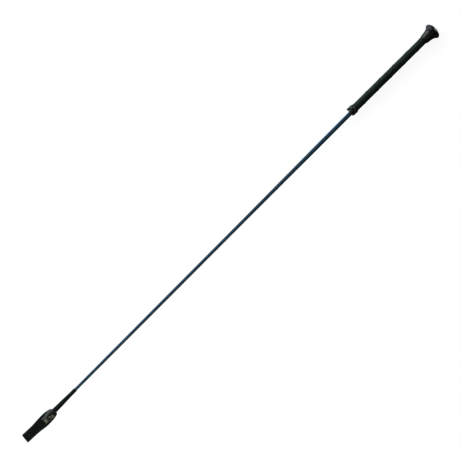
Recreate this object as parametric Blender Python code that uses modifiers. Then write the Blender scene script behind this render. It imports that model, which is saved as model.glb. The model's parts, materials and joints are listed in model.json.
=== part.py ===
"""Riding crop, modelled as the separate pieces that it is built from.

The crop lies on a table: the rim of its cap, at +X, and the flat back of its
leather keeper, at -X, both touch Z = 0. A station is a distance in millimetres
from the end of the cap, measured along the crop. The turned pieces hang on an
empty that follows the crop's axis, and the leather leaves lie flat in the world.
"""

import math

import bmesh
import bpy
from mathutils import Vector

MM = 0.001
GAP = 0.3
TURN_STEPS = 24

# Whole crop
LENGTH = 900.0

# Cap, a flared moulding with a domed end
CAP_RIM_RADIUS = 13.2
CAP_RIM_STATION = 7.0
CAP_MOUTH_STATION = 25.0
CAP_NECK_RADIUS = 6.8
FLARE_START = 8.4
FLARE_RISE = 5.6
FLARE_LENGTH = 5.5
CAP_STEPS = 48
DISC_RADIUS = 6.2
DISC_THICKNESS = 2.1
NAIL_RADIUS = 0.6
NAIL_HEAD_RADIUS = 1.8
NAIL_HEAD_THICKNESS = 0.6
NAIL_END = 26.0
NAIL_POINT = 2.0

# Handle
TUBE_START = 9.0
TUBE_RADIUS = 4.35
PLUG_END = 38.0
WRAP_START = 13.0
WRAP_END = 175.6
WRAP_RADIUS = 5.8
WRAP_THICKNESS = 1.2
WRAP_PITCH = 29.1
WRAP_SEAM_STATION = 21.2
WRAP_STEPS = 24
BINDING_LENGTH = 1.2
BINDING_RADIUS = 6.85

# Turk's head knot
KNOT_STATION = 181.2
KNOT_LEADS = 3
KNOT_BIGHTS = 5
KNOT_HALF_WIDTH = 3.9
KNOT_MEAN_RADIUS = 5.55
KNOT_WEAVE = 1.1
LACE_HALF_WIDTH = 1.35
LACE_HALF_THICKNESS = 0.55
FOUNDATION_HALF_WIDTH = 4.6
FOUNDATION_WALL = 0.3

# Shaft: outer radius of the braid by station
BRAID_START = 40.0
BRAID_END = 848.0
BRAID_WALL = 0.45
BRAID_RADII = ((40.0, 3.0), (187.0, 3.0), (262.0, 2.95), (330.0, 2.55),
               (420.0, 2.25), (600.0, 2.15), (790.0, 1.95), (848.0, 1.95))
ROD_TIP_STATION = 854.3
TIP_CAP_RADIUS = 1.8
TIP_CAP_END = 858.0

# Whipping that binds the keeper to the shaft: outer radius by station
WHIPPING_RADII = ((790.6, 2.65), (802.0, 2.65), (817.0, 3.25), (828.0, 3.42),
                  (833.0, 3.65), (837.0, 3.65))
WHIPPING_WALL = 0.45

# Keeper, two leather leaves
LEAF_THICKNESS = 1.7
TAIL_START = 815.0
TAIL_INNER_RADIUS = 2.2
TAIL_HALF_ANGLE = math.radians(78.0)
THROAT_STATION = 837.0
THROAT_WIDTH = 7.4
WIDEST_STATION = 858.0
WIDEST_WIDTH = 17.5
TONGUE_WIDTH = 13.9
TAPER_END_STATION = 885.0
END_STATION = LENGTH
END_CORNER_RADIUS = 1.0
END_CUT_ANGLE = math.radians(6.0)
TONGUE_VEER = math.radians(2.2)
HINGE_STATION = 860.5
ROD_REST_STATION = 850.0
RIDGE_STATION = 846.0
RIDGE_SOFTNESS = 0.25
EDGE_CHAMFER = 0.35
SEAM_INSET = 1.7
SEAM_THREAD_RADIUS = 0.35

# Derived sizes
ROD_REST_HEIGHT = LEAF_THICKNESS + GAP + TIP_CAP_RADIUS
AXIS_TILT = math.atan2(CAP_RIM_RADIUS - ROD_REST_HEIGHT, ROD_REST_STATION - CAP_RIM_STATION)
PAIR_THICKNESS = 2.0 * LEAF_THICKNESS + GAP
HINGE_HEIGHT = 0.5 * PAIR_THICKNESS
NOSE_RADIUS = 0.5 * PAIR_THICKNESS
ROOT_END_STATION = HINGE_STATION - NOSE_RADIUS - GAP
TIP_X = 0.5 * LENGTH


def interpolate(table, station):
    """Return the value at a station from a short table of (station, value) pairs."""
    if station <= table[0][0]:
        return table[0][1]
    for (start, low), (end, high) in zip(table, table[1:]):
        if station <= end:
            return low + (high - low) * (station - start) / (end - start)
    return table[-1][1]


def smooth(value):
    """Ease a value from 0 to 1."""
    value = min(max(value, 0.0), 1.0)
    return value * value * (3.0 - 2.0 * value)


def axis_height(station):
    """Return the height of the crop's axis above the table."""
    return ROD_REST_HEIGHT + (ROD_REST_STATION - station) * math.tan(AXIS_TILT)


def clear_scene():
    """Remove what a new file starts with."""
    for item in list(bpy.data.objects):
        bpy.data.objects.remove(item, do_unlink=True)


def make_material(name, colour, roughness, metallic=0.0, coat=0.0):
    """Make a Principled material."""
    material = bpy.data.materials.new(name)
    material.use_nodes = True
    shader = material.node_tree.nodes["Principled BSDF"]
    shader.inputs["Base Color"].default_value = (*colour, 1.0)
    shader.inputs["Roughness"].default_value = roughness
    shader.inputs["Metallic"].default_value = metallic
    shader.inputs["Coat Weight"].default_value = coat
    material.diffuse_color = (*colour, 1.0)
    return material


def make_object(name, data, material, collection, parent=None):
    """Put one piece in the collection with its material."""
    piece = bpy.data.objects.new(name, data)
    data.materials.append(material)
    collection.objects.link(piece)
    piece.parent = parent
    return piece


def settle(piece):
    """Turn a piece's modifiers into its mesh, and shade it smooth up to its sharp edges."""
    bpy.context.view_layer.update()
    evaluated = piece.evaluated_get(bpy.context.evaluated_depsgraph_get())
    mesh = bpy.data.meshes.new_from_object(evaluated)
    piece.modifiers.clear()
    piece.data = mesh
    mesh.name = piece.name
    mesh.shade_smooth()
    mesh.set_sharp_from_angle(angle=math.radians(35.0))
    return piece


def turned(name, outline, material, collection, axis, steps=TURN_STEPS, closed=True):
    """Turn (radius, station) points about the crop's axis, outer side first."""
    mesh = bpy.data.meshes.new(name)
    points = [(radius * MM, 0.0, -station * MM) for radius, station in outline]
    edges = [(i, i + 1) for i in range(len(points) - 1)]
    if closed:
        edges.append((len(points) - 1, 0))
    mesh.from_pydata(points, edges, [])
    piece = make_object(name, mesh, material, collection, axis)
    screw = piece.modifiers.new("Turn", "SCREW")
    screw.axis = "Z"
    screw.angle = 2.0 * math.pi
    screw.steps = steps
    screw.render_steps = steps
    screw.use_merge_vertices = True
    screw.merge_threshold = 0.00001
    return settle(piece)


def lofted(name, sections, material, collection, parent=None, endless=False):
    """Join closed sections of equal size into one solid, with filled ends or as an endless ring."""
    shell = bmesh.new()
    rings = [[shell.verts.new(Vector(point) * MM) for point in section] for section in sections]
    count = len(rings[0])
    following_rings = rings[1:] + rings[:1] if endless else rings[1:]
    for ring, following in zip(rings, following_rings):
        for i in range(count):
            j = (i + 1) % count
            shell.faces.new((ring[i], ring[j], following[j], following[i]))
    if not endless:
        shell.faces.new(rings[0])
        shell.faces.new(rings[-1])
    bmesh.ops.recalc_face_normals(shell, faces=shell.faces)
    mesh = bpy.data.meshes.new(name)
    shell.to_mesh(mesh)
    shell.free()
    return settle(make_object(name, mesh, material, collection, parent))


def wire(name, points, radius, material, collection, parent=None):
    """Make a round cord along points."""
    curve = bpy.data.curves.new(name, "CURVE")
    curve.dimensions = "3D"
    curve.bevel_depth = radius * MM
    curve.bevel_resolution = 2
    curve.use_fill_caps = True
    curve.render_resolution_u = 0
    spline = curve.splines.new("POLY")
    spline.points.add(len(points) - 1)
    for target, point in zip(spline.points, points):
        target.co = (*(Vector(point) * MM), 1.0)
    return make_object(name, curve, material, collection, parent)


# Cap ---------------------------------------------------------------------------------------

def cap_body(material, collection, axis):
    """The flared cap: a domed end with a seat for the disc, and a stepped socket for the handle."""
    seat_radius = DISC_RADIUS + GAP
    seat_depth = DISC_THICKNESS + GAP
    dome_start = math.asin(seat_radius / CAP_RIM_RADIUS)
    dome_end = math.radians(82.0)
    outline = []
    for i in range(9):
        angle = dome_start + (dome_end - dome_start) * i / 8
        dome_station = CAP_RIM_STATION * (1.0 - math.cos(angle))
        outline.append((CAP_RIM_RADIUS * math.sin(angle), dome_station))
    outline += [(CAP_RIM_RADIUS, CAP_RIM_STATION - 0.1), (CAP_RIM_RADIUS - 0.15, CAP_RIM_STATION + 0.6)]
    flare_stations = [FLARE_START + (CAP_MOUTH_STATION - FLARE_START) * (i / 12) ** 1.3 for i in range(13)]
    for station in flare_stations:
        rise = FLARE_RISE * math.exp(-(station - FLARE_START) / FLARE_LENGTH)
        outline.append((CAP_NECK_RADIUS + rise, station))
    socket = WRAP_RADIUS + GAP
    shelf = WRAP_START - GAP
    tube_socket = TUBE_RADIUS + GAP
    floor = TUBE_START - GAP
    nail_hole = NAIL_RADIUS + GAP
    head_seat = seat_depth + NAIL_HEAD_THICKNESS + GAP
    outline += [(socket, CAP_MOUTH_STATION), (socket, shelf), (tube_socket, shelf), (tube_socket, floor),
                (nail_hole, floor), (nail_hole, head_seat), (NAIL_HEAD_RADIUS + GAP, head_seat),
                (NAIL_HEAD_RADIUS + GAP, seat_depth), (seat_radius, seat_depth)]
    return turned("cap_body", outline, material, collection, axis, CAP_STEPS)


def cap_end_disc(material, collection, axis):
    """The flat disc let into the end of the cap, which hides the nail."""
    edge = 0.5
    outline = [(0.0, 0.0), (DISC_RADIUS - edge, 0.0), (DISC_RADIUS - 0.3 * edge, 0.3 * edge),
               (DISC_RADIUS, edge), (DISC_RADIUS, DISC_THICKNESS), (0.0, DISC_THICKNESS)]
    return turned("cap_end_disc", outline, material, collection, axis, CAP_STEPS, closed=False)


def cap_nail(material, collection, axis):
    """The nail that fastens the cap to the plug in the handle."""
    head = DISC_THICKNESS + GAP + 0.1
    shank = head + NAIL_HEAD_THICKNESS
    outline = [(0.0, head), (NAIL_HEAD_RADIUS, head), (NAIL_HEAD_RADIUS, shank), (NAIL_RADIUS, shank),
               (NAIL_RADIUS, NAIL_END - NAIL_POINT), (0.0, NAIL_END)]
    return turned("cap_nail", outline, material, collection, axis, 16, closed=False)


# Handle ------------------------------------------------------------------------------------

def butt_plug(material, collection, axis):
    """The wooden plug in the end of the handle tube, bored for the nail."""
    radius = interpolate(BRAID_RADII, BRAID_START)
    start = TUBE_START + GAP
    bore = NAIL_RADIUS + GAP
    outline = [(0.0, NAIL_END + GAP), (bore, NAIL_END - NAIL_POINT), (bore, start), (radius, start),
               (radius, PLUG_END), (0.0, PLUG_END)]
    return turned("butt_plug", outline, material, collection, axis, closed=False)


def handle_tube(material, collection, axis):
    """The tube that thickens the end of the shaft into a handle."""
    bore = interpolate(BRAID_RADII, BRAID_START) + GAP
    outline = [(TUBE_RADIUS, TUBE_START), (TUBE_RADIUS, WRAP_END), (bore, WRAP_END), (bore, TUBE_START)]
    return turned("handle_tube", outline, material, collection, axis)


def grip_wrap(material, collection, axis):
    """The grip: one leather strip wound round the handle in a spiral, its edges nearly meeting."""
    inner = WRAP_RADIUS - WRAP_THICKNESS
    turns_before = math.ceil((WRAP_SEAM_STATION - WRAP_START) / WRAP_PITCH) + 1
    last = int((WRAP_END - WRAP_START) / WRAP_PITCH + 2) * WRAP_STEPS
    sections = []
    for step in range(-turns_before * WRAP_STEPS, last):
        angle = 2.0 * math.pi * step / WRAP_STEPS
        near = WRAP_SEAM_STATION + WRAP_PITCH * step / WRAP_STEPS
        far = min(near + WRAP_PITCH - GAP, WRAP_END)
        near = max(near, WRAP_START)
        if far - near < 1.0:
            continue
        across = Vector((math.cos(angle), math.sin(angle), 0.0))
        corners = ((inner, near), (inner, far), (WRAP_RADIUS, far), (WRAP_RADIUS, near))
        sections.append([across * radius - Vector((0.0, 0.0, station)) for radius, station in corners])
    return lofted("grip_wrap", sections, material, collection, axis)


def grip_top_binding(material, collection, axis):
    """The thread ring that holds the top of the wrap at the mouth of the cap."""
    start = CAP_MOUTH_STATION + GAP
    end = start + BINDING_LENGTH
    inner = WRAP_RADIUS + 0.2
    middle = 0.5 * (start + end)
    outline = [(BINDING_RADIUS - 0.3, start), (BINDING_RADIUS, middle), (BINDING_RADIUS - 0.3, end),
               (inner, end), (inner, start)]
    return turned("grip_top_binding", outline, material, collection, axis)


# Knot --------------------------------------------------------------------------------------

def knot_foundation(material, collection, axis):
    """The band wound on the shaft as the bed of the knot."""
    inner = interpolate(BRAID_RADII, KNOT_STATION) + 0.2
    outer = inner + FOUNDATION_WALL
    start = KNOT_STATION - FOUNDATION_HALF_WIDTH
    end = KNOT_STATION + FOUNDATION_HALF_WIDTH
    outline = [(outer, start), (outer, end), (inner, end), (inner, start)]
    return turned("knot_foundation", outline, material, collection, axis)


def knot_point(turn):
    """The lace's centre line: round the shaft, from edge to edge, over one strand and under the next."""
    phase = turn * KNOT_BIGHTS / KNOT_LEADS
    radius = KNOT_MEAN_RADIUS + KNOT_WEAVE * (math.sin(2.0 * phase) - 0.35 * math.sin(4.0 * phase))
    station = KNOT_STATION + KNOT_HALF_WIDTH * math.cos(phase)
    return Vector((radius * math.cos(turn), radius * math.sin(turn), -station))


def turks_head_knot(material, collection, axis):
    """A Turk's head of three leads and five bights, plaited from one endless flat lace."""
    count = KNOT_LEADS * KNOT_BIGHTS * 8
    sections = []
    for i in range(count):
        turn = 2.0 * math.pi * KNOT_LEADS * i / count
        centre = knot_point(turn)
        along = (knot_point(turn + 0.01) - knot_point(turn - 0.01)).normalized()
        outward = Vector((math.cos(turn), math.sin(turn), 0.0))
        across = along.cross(outward).normalized()
        outward = across.cross(along)
        section = []
        for degrees in range(0, 360, 45):
            angle = math.radians(degrees)
            section.append(centre + across * LACE_HALF_WIDTH * math.cos(angle)
                           + outward * LACE_HALF_THICKNESS * math.sin(angle))
        sections.append(section)
    return lofted("turks_head_knot", sections, material, collection, axis, endless=True)


# Shaft -------------------------------------------------------------------------------------

def core_rod(material, collection, axis):
    """The tapered glass-fibre rod, which is the spring of the crop."""
    inset = BRAID_WALL + GAP
    stations = [station for station, _ in BRAID_RADII[:-1]] + [ROD_TIP_STATION]
    outline = [(0.0, stations[0])]
    outline += [(interpolate(BRAID_RADII, station) - inset, station) for station in stations]
    outline.append((0.0, ROD_TIP_STATION))
    return turned("core_rod", outline, material, collection, axis, closed=False)


def shaft_braid(material, collection, axis):
    """The braided thread cover, a sleeve over the whole rod."""
    outer = [(radius, station) for station, radius in BRAID_RADII]
    inner = [(radius - BRAID_WALL, station) for radius, station in reversed(outer)]
    return turned("shaft_braid", outer + inner, material, collection, axis)


def rod_tip_cap(material, collection, axis):
    """The blunt cap on the rod's tip, which keeps it from piercing the leather."""
    start = BRAID_END + GAP
    bore = interpolate(BRAID_RADII, BRAID_END) - BRAID_WALL
    floor = ROD_TIP_STATION + GAP
    outline = [(0.0, floor), (bore, floor), (bore, start), (TIP_CAP_RADIUS, start)]
    for degrees in (0, 30, 60, 90):
        angle = math.radians(degrees)
        outline.append((TIP_CAP_RADIUS * math.cos(angle), TIP_CAP_END - TIP_CAP_RADIUS * (1.0 - math.sin(angle))))
    return turned("rod_tip_cap", outline, material, collection, axis, closed=False)


def keeper_whipping(material, collection, axis):
    """The thread wound over the keeper's tails, thicker where they lie under it."""
    outer = [(radius, station) for station, radius in WHIPPING_RADII]
    inner = [(radius - WHIPPING_WALL, station) for radius, station in reversed(outer)]
    return turned("keeper_whipping", outer + inner, material, collection, axis)


# Keeper ------------------------------------------------------------------------------------

def keeper_width(station):
    """Return the keeper's width: a round shoulder, a taper, then a straight tongue."""
    if station <= WIDEST_STATION:
        along = (WIDEST_STATION - station) / (WIDEST_STATION - THROAT_STATION)
        return THROAT_WIDTH + (WIDEST_WIDTH - THROAT_WIDTH) * math.sqrt(max(0.0, 1.0 - along * along))
    along = min((station - WIDEST_STATION) / (TAPER_END_STATION - WIDEST_STATION), 1.0)
    return TONGUE_WIDTH + (WIDEST_WIDTH - TONGUE_WIDTH) * 0.5 * (1.0 + math.cos(math.pi * along))


def tail_section(station, side, count):
    """Inner and outer lines of a tail, an arc that hugs the shaft under the whipping."""
    outer_radius = interpolate(WHIPPING_RADII, station) - WHIPPING_WALL - 0.25
    height = axis_height(station)
    lines = []
    for radius in (TAIL_INNER_RADIUS, outer_radius):
        line = []
        for i in range(count):
            angle = TAIL_HALF_ANGLE * (2.0 * i / (count - 1) - 1.0)
            line.append((radius * math.sin(angle), height + side * radius * math.cos(angle)))
        lines.append(line)
    return lines


def front_section(station, count):
    """Lines of the front leaf over the rod's tip: a soft ridge that falls to both edges."""
    half = 0.5 * keeper_width(station)
    edge = LEAF_THICKNESS + GAP
    ridge = axis_height(station) + TIP_CAP_RADIUS + GAP
    foot = math.sqrt(1.0 + RIDGE_SOFTNESS ** 2)
    lines = []
    for lift in (0.0, LEAF_THICKNESS):
        line = []
        for i in range(count):
            across = 2.0 * i / (count - 1) - 1.0
            rise = (foot - math.sqrt(across ** 2 + RIDGE_SOFTNESS ** 2)) / (foot - RIDGE_SOFTNESS)
            line.append((half * across, edge + lift + (ridge - edge) * rise))
        lines.append(line)
    return lines


def back_section(station, count):
    """Lines of the back leaf, flat on the table."""
    half = 0.5 * keeper_width(station)
    inner = [(half * (2.0 * i / (count - 1) - 1.0), LEAF_THICKNESS) for i in range(count)]
    outer = [(across, 0.0) for across, _ in inner]
    return [inner, outer]


def root_leaf(name, flat_section, side, material, collection):
    """One leaf of the keeper from its tail to the hinge."""
    count = 13
    tail = [TAIL_START, 822.0, 830.0, 835.0]
    open_length = ROOT_END_STATION - THROAT_STATION
    stations = tail + [THROAT_STATION + open_length * (i / 14) ** 1.4 for i in range(15)]
    sections = []
    for station in stations:
        bound = tail_section(min(station, THROAT_STATION), side, count)
        flat = flat_section(max(station, THROAT_STATION), count)
        share = smooth((station - THROAT_STATION) / (RIDGE_STATION - THROAT_STATION))
        lines = []
        for tail_line, flat_line in zip(bound, flat):
            lines.append([(a[0] + (b[0] - a[0]) * share, a[1] + (b[1] - a[1]) * share)
                          for a, b in zip(tail_line, flat_line)])
        loop = lines[0] + lines[1][::-1]
        sections.append([(TIP_X - station, across, height) for across, height in loop])
    return lofted(name, sections, material, collection)


def tongue_stations():
    """Stations of the tongue's sections behind its round nose, closer at the end's round corners."""
    straight = [HINGE_STATION + 3.0 * i for i in range(13)]
    corner = [END_STATION - END_CORNER_RADIUS * (1.0 - math.sin(math.radians(a))) for a in (0, 30, 60, 90)]
    return [station for station in straight if station < corner[0] - 1.0] + corner


def tongue_point(station, across, height):
    """Place a point of the tongue, which veers to one side and is cut slightly askew."""
    centre = math.tan(TONGUE_VEER) * max(station - HINGE_STATION, 0.0)
    end_half = 0.5 * TONGUE_WIDTH
    skew = math.tan(END_CUT_ANGLE) * smooth((station - TAPER_END_STATION) / (END_STATION - TAPER_END_STATION))
    return (TIP_X - station + skew * (across + end_half), across + centre, height)


def tongue_half_width(station):
    """Half the tongue's width, with the end's corners rounded."""
    half = 0.5 * keeper_width(station)
    into_corner = max(station - (END_STATION - END_CORNER_RADIUS), 0.0)
    return half - END_CORNER_RADIUS + math.sqrt(max(END_CORNER_RADIUS ** 2 - into_corner ** 2, 0.0))


def tongue_leaf(name, side, material, collection, pivot):
    """One leaf of the tongue, with a quarter-round nose about the hinge. Side is +1 in front."""
    inner = HINGE_HEIGHT + side * 0.5 * GAP
    profile = []
    for degrees in (15, 35, 55, 75):
        angle = math.radians(degrees)
        profile.append((HINGE_STATION - NOSE_RADIUS * math.cos(angle),
                        HINGE_HEIGHT + side * NOSE_RADIUS * math.sin(angle)))
    face = HINGE_HEIGHT + side * NOSE_RADIUS
    profile += [(station, face) for station in tongue_stations()]
    sections = []
    for station, outer in profile:
        half = tongue_half_width(station)
        chamfer = min(EDGE_CHAMFER, 0.4 * abs(outer - inner))
        shoulder = outer - side * chamfer
        loop = ((-half, inner), (-half, shoulder), (-half + chamfer, outer),
                (half - chamfer, outer), (half, shoulder), (half, inner))
        placed = [Vector(tongue_point(station, across, height)) for across, height in loop]
        sections.append([point - pivot.location / MM for point in placed])
    return lofted(name, sections, material, collection, pivot)


def keeper_seam_thread(material, collection, pivot):
    """The thread sewn round the tongue just inside its cut edge."""
    height = PAIR_THICKNESS + 0.1 + SEAM_THREAD_RADIUS
    start = HINGE_STATION + 2.0
    end = END_STATION - SEAM_INSET
    corner = 1.2
    side = []
    for i in range(13):
        station = start + (end - corner - start) * i / 12
        side.append((station, 0.5 * keeper_width(station) - SEAM_INSET))
    for degrees in (30, 60, 90):
        angle = math.radians(degrees)
        side.append((end - corner + corner * math.sin(angle), side[12][1] - corner + corner * math.cos(angle)))
    path = side + [(station, -across) for station, across in reversed(side)]
    placed = [Vector(tongue_point(station, across, height)) - pivot.location / MM for station, across in path]
    return wire("keeper_seam_thread", placed, SEAM_THREAD_RADIUS, material, collection, pivot)


def build():
    """Build the whole crop."""
    clear_scene()
    collection = bpy.data.collections.new("riding_crop")
    bpy.context.scene.collection.children.link(collection)

    axis = bpy.data.objects.new("crop_axis", None)
    axis.location = (TIP_X * MM, 0.0, axis_height(0.0) * MM)
    axis.rotation_euler = (0.0, math.radians(90.0) - AXIS_TILT, 0.0)
    collection.objects.link(axis)

    pivot = bpy.data.objects.new("keeper_pivot", None)
    pivot.location = ((TIP_X - HINGE_STATION) * MM, 0.0, HINGE_HEIGHT * MM)
    collection.objects.link(pivot)
    bpy.context.view_layer.update()

    gloss = make_material("gloss_black", (0.012, 0.014, 0.014), 0.12, coat=0.5)
    steel = make_material("nail_steel", (0.45, 0.45, 0.46), 0.35, metallic=1.0)
    wood = make_material("plug_wood", (0.42, 0.27, 0.14), 0.6)
    tube = make_material("tube_plastic", (0.05, 0.05, 0.055), 0.5)
    grip = make_material("grip_leather", (0.018, 0.021, 0.020), 0.42)
    thread = make_material("black_thread", (0.012, 0.014, 0.015), 0.5)
    lace = make_material("lace_leather", (0.016, 0.018, 0.018), 0.35)
    band = make_material("foundation_tape", (0.03, 0.03, 0.03), 0.8)
    glass = make_material("glass_fibre", (0.62, 0.62, 0.52), 0.3)
    navy = make_material("navy_braid", (0.012, 0.030, 0.060), 0.3)
    keeper = make_material("keeper_leather", (0.015, 0.019, 0.018), 0.4)

    cap_body(gloss, collection, axis)
    cap_end_disc(gloss, collection, axis)
    cap_nail(steel, collection, axis)
    butt_plug(wood, collection, axis)
    handle_tube(tube, collection, axis)
    grip_wrap(grip, collection, axis)
    grip_top_binding(thread, collection, axis)
    knot_foundation(band, collection, axis)
    turks_head_knot(lace, collection, axis)
    core_rod(glass, collection, axis)
    shaft_braid(navy, collection, axis)
    rod_tip_cap(tube, collection, axis)
    keeper_whipping(thread, collection, axis)
    root_leaf("keeper_front_root", front_section, 1.0, keeper, collection)
    root_leaf("keeper_back_root", back_section, -1.0, keeper, collection)
    tongue_leaf("keeper_front_leaf", 1.0, keeper, collection, pivot)
    tongue_leaf("keeper_back_leaf", -1.0, keeper, collection, pivot)
    keeper_seam_thread(thread, collection, pivot)


build()
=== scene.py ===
"""Looks of a riding crop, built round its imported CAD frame.

Lengths of the crop are in millimetres; those of materials, lights, the floor and the camera's
place are in metres.
A station is a distance along the crop from the end of its cap. Every made piece carries a UV map
named Lay, which holds (share of a turn, metres along) on round pieces and (metres round the
section, metres along) on the keeper's leather.
"""

import json
import math

import bpy
import numpy as np
from mathutils import Matrix, Vector

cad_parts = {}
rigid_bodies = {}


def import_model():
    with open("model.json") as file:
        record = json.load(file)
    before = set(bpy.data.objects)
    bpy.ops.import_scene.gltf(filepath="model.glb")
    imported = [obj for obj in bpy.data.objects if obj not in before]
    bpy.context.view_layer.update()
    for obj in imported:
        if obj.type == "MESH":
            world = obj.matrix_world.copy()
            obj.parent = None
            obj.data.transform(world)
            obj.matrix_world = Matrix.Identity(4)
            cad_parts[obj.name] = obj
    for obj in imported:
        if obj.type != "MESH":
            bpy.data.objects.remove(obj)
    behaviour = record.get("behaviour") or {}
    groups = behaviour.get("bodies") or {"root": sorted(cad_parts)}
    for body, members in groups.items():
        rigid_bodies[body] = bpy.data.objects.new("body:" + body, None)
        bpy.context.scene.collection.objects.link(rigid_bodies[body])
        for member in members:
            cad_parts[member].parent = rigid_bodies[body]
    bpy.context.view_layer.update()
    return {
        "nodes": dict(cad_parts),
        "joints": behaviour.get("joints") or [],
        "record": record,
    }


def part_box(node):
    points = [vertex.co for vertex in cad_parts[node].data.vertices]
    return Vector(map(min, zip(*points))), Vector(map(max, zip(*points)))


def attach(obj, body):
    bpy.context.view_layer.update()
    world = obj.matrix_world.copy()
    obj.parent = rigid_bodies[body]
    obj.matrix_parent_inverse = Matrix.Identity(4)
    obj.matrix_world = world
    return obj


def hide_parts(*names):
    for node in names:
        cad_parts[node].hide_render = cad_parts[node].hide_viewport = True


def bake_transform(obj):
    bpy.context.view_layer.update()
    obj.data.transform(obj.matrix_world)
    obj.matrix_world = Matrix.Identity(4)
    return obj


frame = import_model()

MM = 0.001
TURN = 2.0 * math.pi

# Frame: the crop's axis, from the flat face on the cap's end, and the keeper's hinge
END_FACE = next(m for m in frame["record"]["mounts"] if m["name"] == "cap_end_face")
ORIGIN = np.array(END_FACE["pos_m"]) / MM
ALONG = np.array(END_FACE["axis"])
SIDE = np.array((0.0, 1.0, 0.0))
DOWN = np.cross(SIDE, ALONG)
HINGE = np.array(frame["joints"][0]["pos_m"]) / MM
RIGID, MOVING = frame["joints"][0]["parent"], frame["joints"][0]["child"]


def span(node):
    """Return a node's first and last station and its largest radius about the crop's axis."""
    points = np.array([vertex.co for vertex in frame["nodes"][node].data.vertices]) / MM - ORIGIN
    stations = -points @ ALONG
    radii = np.linalg.norm(points + np.outer(stations, ALONG), axis=1)
    return stations.min(), stations.max(), radii.max()


CAP = span("cap_body")
DISC = span("cap_end_disc")
BINDING = span("grip_top_binding")
WRAP = span("grip_wrap")
KNOT = span("turks_head_knot")
FOUNDATION = span("knot_foundation")
BRAID = span("shaft_braid")
WHIPPING = span("keeper_whipping")
TUBE = span("handle_tube")
LEAF_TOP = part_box("keeper_front_leaf")[1].z / MM
CAP_X = ORIGIN[0]
KEEPER_END = ORIGIN[0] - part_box("keeper_front_leaf")[0].x / MM

# The cap's outline, behind its disc: a dome, a rounded rim, a flare and a beaded mouth
CLEARANCE = 0.3
RIM_STATION = 7.0
RIM_ROUND = 0.75
DOME_FULLNESS = 1.12
FLARE_START = 8.4
MOUTH_LENGTH = 1.6
NAIL_BORE = 0.9
NAIL_HEAD_BORE = 2.1
NAIL_HEAD_DEPTH = 0.9

# Looks of the grip's wrap, the knot, the braid and the thread
WRAP_PITCH = 29.1
WRAP_SEAM_STATION = 21.2
KNOT_LEADS = 3
KNOT_BIGHTS = 5
KNOT_SLIP = 0.25
LEAN = math.radians(0.44)
LEAN_STATION = 58.0
BRAID_STRANDS = 8
BRAID_LEAD = 20.0
BRAID_RADII = ((40.0, 3.0), (187.0, 3.04), (262.0, 3.0), (330.0, 2.68),
               (420.0, 2.42), (600.0, 2.29), (790.0, 2.06), (848.0, 1.98))
WHIPPING_RADII = ((790.6, 2.65), (802.0, 2.65), (817.0, 3.25), (828.0, 3.42),
                  (833.0, 3.65), (837.0, 3.65))
THREAD = 0.5


# Geometry helpers --------------------------------------------------------------------------

def smooth(value):
    """Ease values from 0 to 1."""
    value = np.clip(value, 0.0, 1.0)
    return value * value * (3.0 - 2.0 * value)


def read_table(table, stations):
    """Read values at stations from a short table of (station, value) pairs."""
    known, values = zip(*table)
    return np.interp(stations, known, values)


def place(stations, radii, angles):
    """Points about the crop's axis, with angle 0 underneath and a quarter turn on the +Y side."""
    stations, radii, angles = np.broadcast_arrays(stations, radii, angles)
    down = (radii * np.cos(angles))[..., None] * DOWN
    side = (radii * np.sin(angles))[..., None] * SIDE
    return ORIGIN - stations[..., None] * ALONG + down + side


def skin(name, grid, material, across, along, endless=False):
    """Make a closed mesh from rings of points (rings x points x xyz), with its UV map Lay.

    across holds the UV of each point and of the first one again; along holds that of each ring,
    and of the first one again where the rings are endless.
    """
    rings, count = grid.shape[:2]
    index = np.arange(rings * count).reshape(rings, count)
    rows = rings + 1 if endless else rings
    lay = np.stack(np.broadcast_arrays(across, np.reshape(along, (rows, 1))), axis=-1)
    index = np.vstack([index, index[:1]]) if endless else index
    index = np.hstack([index, index[:, :1]])
    corners = [np.s_[:-1, :-1], np.s_[1:, :-1], np.s_[1:, 1:], np.s_[:-1, 1:]]
    faces = np.stack([index[corner] for corner in corners], axis=-1).reshape(-1, 4)
    uv = np.stack([lay[corner] for corner in corners], axis=2).reshape(-1, 4, 2)
    points = grid.reshape(-1, 3)
    first, second, third, fourth = (points[faces[:, i]] for i in range(4))
    flip = np.einsum("ij,ij->", first, np.cross(second, third) + np.cross(third, fourth)) < 0.0
    turn = -1 if flip else 1
    face_list = faces[:, ::turn].tolist()
    uv = uv[:, ::turn].reshape(-1, 2)
    if not endless:
        face_list += [index[0, :-1][::turn].tolist(), index[-1, :-1][::-turn].tolist()]
        uv = np.vstack([uv, lay[0, :-1][::turn], lay[-1, :-1][::-turn]])
    mesh = bpy.data.meshes.new(name)
    mesh.from_pydata((points * MM).tolist(), [], face_list)
    layer = mesh.uv_layers.new(name="Lay")
    layer.data.foreach_set("uv", uv.astype(np.float32).ravel())
    mesh.materials.append(material)
    mesh.shade_smooth()
    mesh.set_sharp_from_angle(angle=math.radians(40.0))
    piece = bpy.data.objects.new(name, mesh)
    bpy.context.scene.collection.objects.link(piece)
    return piece


def turned(name, outline, count, material):
    """Turn a closed outline of (radius, station) points about the crop's axis."""
    outline = np.array(outline)
    angles = np.arange(count) * TURN / count
    grid = place(outline[:, 1:2], outline[:, 0:1], angles[None, :])
    steps = np.hypot(*(np.roll(outline, -1, axis=0) - outline).T)
    along = np.concatenate([[0.0], np.cumsum(steps)]) * MM
    return skin(name, grid, material, np.linspace(0.0, 1.0, count + 1), along, endless=True)


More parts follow.
